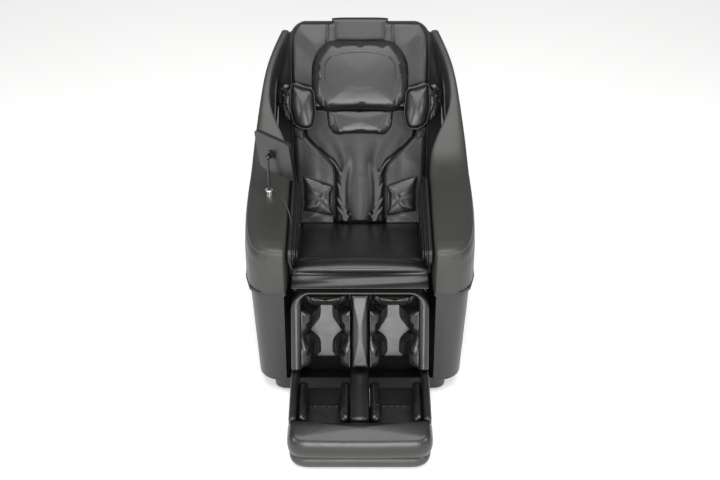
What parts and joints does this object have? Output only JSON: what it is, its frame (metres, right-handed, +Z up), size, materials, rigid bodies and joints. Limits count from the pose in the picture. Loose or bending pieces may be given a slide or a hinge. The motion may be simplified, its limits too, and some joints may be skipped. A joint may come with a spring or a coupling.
{
  "type": "massage chair",
  "caption": "Full-body massage chair with side shells, reclining back, lifting leg rest with calf and foot wells, and a tablet remote on a stalk.",
  "frame": {"origin": "middle of the overall box, on the floor", "axes": "-Y towards the foot end, +X towards the sitter's left, +Z up"},
  "size_m": [0.788, 1.4178, 1.0679],
  "materials": {
    "black_leather": "soft grained",
    "shell_leather": "smooth satin",
    "black_plastic": "fine textured",
    "gloss_black": "polished",
    "screen_glass": "polished",
    "silver_trim": "satin",
    "chrome_metal": "polished",
    "black_rubber": "matte",
    "roller_rubber": "matte",
    "frame_paint": "powder coat",
    "bright_steel": "turned",
    "motor_housing": "moulded",
    "plywood": "raw"
  },
  "bodies": {
    "base": {"base_pan": "black_plastic", "foot_pads": "black_rubber", "base_frame": "frame_paint", "wheel_axle": "bright_steel", "lower_skirts": "black_plastic", "rear_cover": "black_plastic", "control_box": "black_plastic", "air_pump": "motor_housing", "power_inlet": "black_plastic"},
    "wheels": {"transport_wheels": "roller_rubber"},
    "rocker": {"power_rocker": "black_plastic"},
    "seat": {"seat_frame": "frame_paint", "hinge_pins": "bright_steel", "seat_board": "plywood", "seat_cushion": "black_leather", "seat_front_pad": "black_leather", "valance": "black_leather", "arm_shell_left": "shell_leather", "arm_shell_right": "shell_leather", "shell_trims": "silver_trim", "shell_liners": "black_leather", "remote_socket": "gloss_black", "remote_cable_upper": "black_rubber", "remote_cable_lower": "black_rubber"},
    "backrest": {"back_frame": "frame_paint", "back_shell": "black_plastic", "back_cushion": "black_leather", "back_centre_pad": "black_leather", "neck_and_waist_pads": "black_leather", "shoulder_wings": "black_leather", "top_flap": "black_leather"},
    "pillow": {"head_pillow": "black_leather"},
    "carriage": {"massage_carriage": "frame_paint", "carriage_motor": "motor_housing"},
    "roller_left": {"roller_arm_left": "frame_paint", "kneading_rollers_left": "roller_rubber"},
    "roller_right": {"roller_arm_right": "frame_paint", "kneading_rollers_right": "roller_rubber"},
    "leg_rest": {"calf_shell": "black_leather", "calf_divider": "black_leather", "knee_pads": "black_leather", "calf_airbags": "black_leather", "leg_frame": "frame_paint"},
    "foot_rest": {"foot_shell": "black_leather", "toe_cap": "black_leather", "foot_bottom_cover": "black_plastic", "foot_divider": "black_leather", "sole_plates": "black_plastic", "foot_airbags": "black_leather"},
    "foot_rollers": {"foot_rollers": "roller_rubber"},
    "tilt_tube": {"tilt_actuator": "motor_housing"},
    "tilt_rod": {"tilt_rod": "bright_steel"},
    "recline_tube": {"recline_actuator": "motor_housing"},
    "recline_rod": {"recline_rod": "bright_steel"},
    "leg_tube": {"leg_actuator": "motor_housing"},
    "leg_rod": {"leg_rod": "bright_steel"},
    "stalk": {"remote_stalk": "chrome_metal"},
    "tablet": {"remote_clamp": "chrome_metal", "remote_case": "gloss_black", "remote_screen": "screen_glass"}
  },
  "joints": [
    {"name": "tilt", "type": "hinge", "parent": "base", "child": "seat", "pos_m": [0, 0.265, 0.18], "axis": [-1, 0, 0], "range_deg": [0, 12]},
    {"name": "recline", "type": "hinge", "parent": "seat", "child": "backrest", "pos_m": [0, 0.23, 0.35], "axis": [-1, 0, 0], "range_deg": [0, 40]},
    {"name": "leg_lift", "type": "hinge", "parent": "seat", "child": "leg_rest", "pos_m": [0, -0.22765, 0.43855], "axis": [-1, 0, 0], "range_deg": [0, 70], "deforming": ["valance", "remote_cable_lower"]},
    {"name": "foot_slide", "type": "slide", "parent": "leg_rest", "child": "foot_rest", "axis": [0, -0.3371, -0.9415], "range_m": [0, 0.1]},
    {"name": "foot_roller_spin", "type": "hinge", "parent": "foot_rest", "child": "foot_rollers", "pos_m": [0, -0.43, 0.042], "axis": [1, 0, 0], "continuous": true},
    {"name": "pillow_flip", "type": "hinge", "parent": "backrest", "child": "pillow", "pos_m": [0, 0.51642, 1.00311], "axis": [-1, 0, 0], "range_deg": [0, 75]},
    {"name": "carriage_travel", "type": "slide", "parent": "backrest", "child": "carriage", "axis": [0, 0.4478, 0.8942], "range_m": [-0.13, 0.22]},
    {"name": "roller_swing_left", "type": "hinge", "parent": "carriage", "child": "roller_left", "pos_m": [0.042, 0.39409, 0.60919], "axis": [1, 0, 0], "range_deg": [-8, 8]},
    {"name": "roller_swing_right", "type": "hinge", "parent": "carriage", "child": "roller_right", "pos_m": [-0.042, 0.39409, 0.60919], "axis": [1, 0, 0], "range_deg": [-8, 8]},
    {"name": "tilt_actuator_swing", "type": "hinge", "parent": "base", "child": "tilt_tube", "pos_m": [0, -0.15, 0.09], "axis": [1, 0, 0], "range_deg": [0, 0.23]},
    {"name": "tilt_rod_slide", "type": "slide", "parent": "tilt_tube", "child": "tilt_rod", "axis": [0, 0.5597, 0.8287], "range_m": [0, 0.0622]},
    {"name": "recline_actuator_swing", "type": "hinge", "parent": "seat", "child": "recline_tube", "pos_m": [0.06, -0.123, 0.33], "axis": [1, 0, 0], "range_deg": [0, 5.27]},
    {"name": "recline_rod_slide", "type": "slide", "parent": "recline_tube", "child": "recline_rod", "axis": [0, 0.968, -0.2509], "range_m": [-0.0693, 0]},
    {"name": "leg_actuator_swing", "type": "hinge", "parent": "seat", "child": "leg_tube", "pos_m": [-0.06, 0.125, 0.258], "axis": [1, 0, 0], "range_deg": [0, 0.9]},
    {"name": "leg_rod_slide", "type": "slide", "parent": "leg_tube", "child": "leg_rod", "axis": [0, -0.9967, 0.0807], "range_m": [0, 0.2094]},
    {"name": "remote_swivel", "type": "hinge", "parent": "seat", "child": "stalk", "pos_m": [-0.31, -0.03, 0.8075], "axis": [0, 0, 1], "range_deg": [-35, 35]},
    {"name": "remote_tilt", "type": "hinge", "parent": "stalk", "child": "tablet", "pos_m": [-0.31, -0.03, 0.8075], "axis": [0.7337, -0.6794, 0], "range_deg": [-10, 35]},
    {"name": "wheel_spin", "type": "hinge", "parent": "base", "child": "wheels", "pos_m": [0, 0.455, 0.031], "axis": [1, 0, 0], "continuous": true},
    {"name": "rocker_tip", "type": "hinge", "parent": "base", "child": "rocker", "pos_m": [0.095, 0.4905, 0.1], "axis": [1, 0, 0], "range_deg": [-6, 6]}
  ],
  "couplings": [
    {"joint": "foot_slide", "follows": "leg_lift", "m_per_rad": 0.0818},
    {"joint": "roller_swing_right", "follows": "roller_swing_left", "ratio": -1},
    {"joint": "tilt_actuator_swing", "follows": "tilt", "ratio": 0.00259},
    {"joint": "tilt_rod_slide", "follows": "tilt", "m_per_rad": 0.2947},
    {"joint": "recline_actuator_swing", "follows": "recline", "ratio": 0.1268},
    {"joint": "recline_rod_slide", "follows": "recline", "m_per_rad": -0.09856},
    {"joint": "leg_actuator_swing", "follows": "leg_lift", "ratio": 0.01},
    {"joint": "leg_rod_slide", "follows": "leg_lift", "m_per_rad": 0.17098}
  ]
}
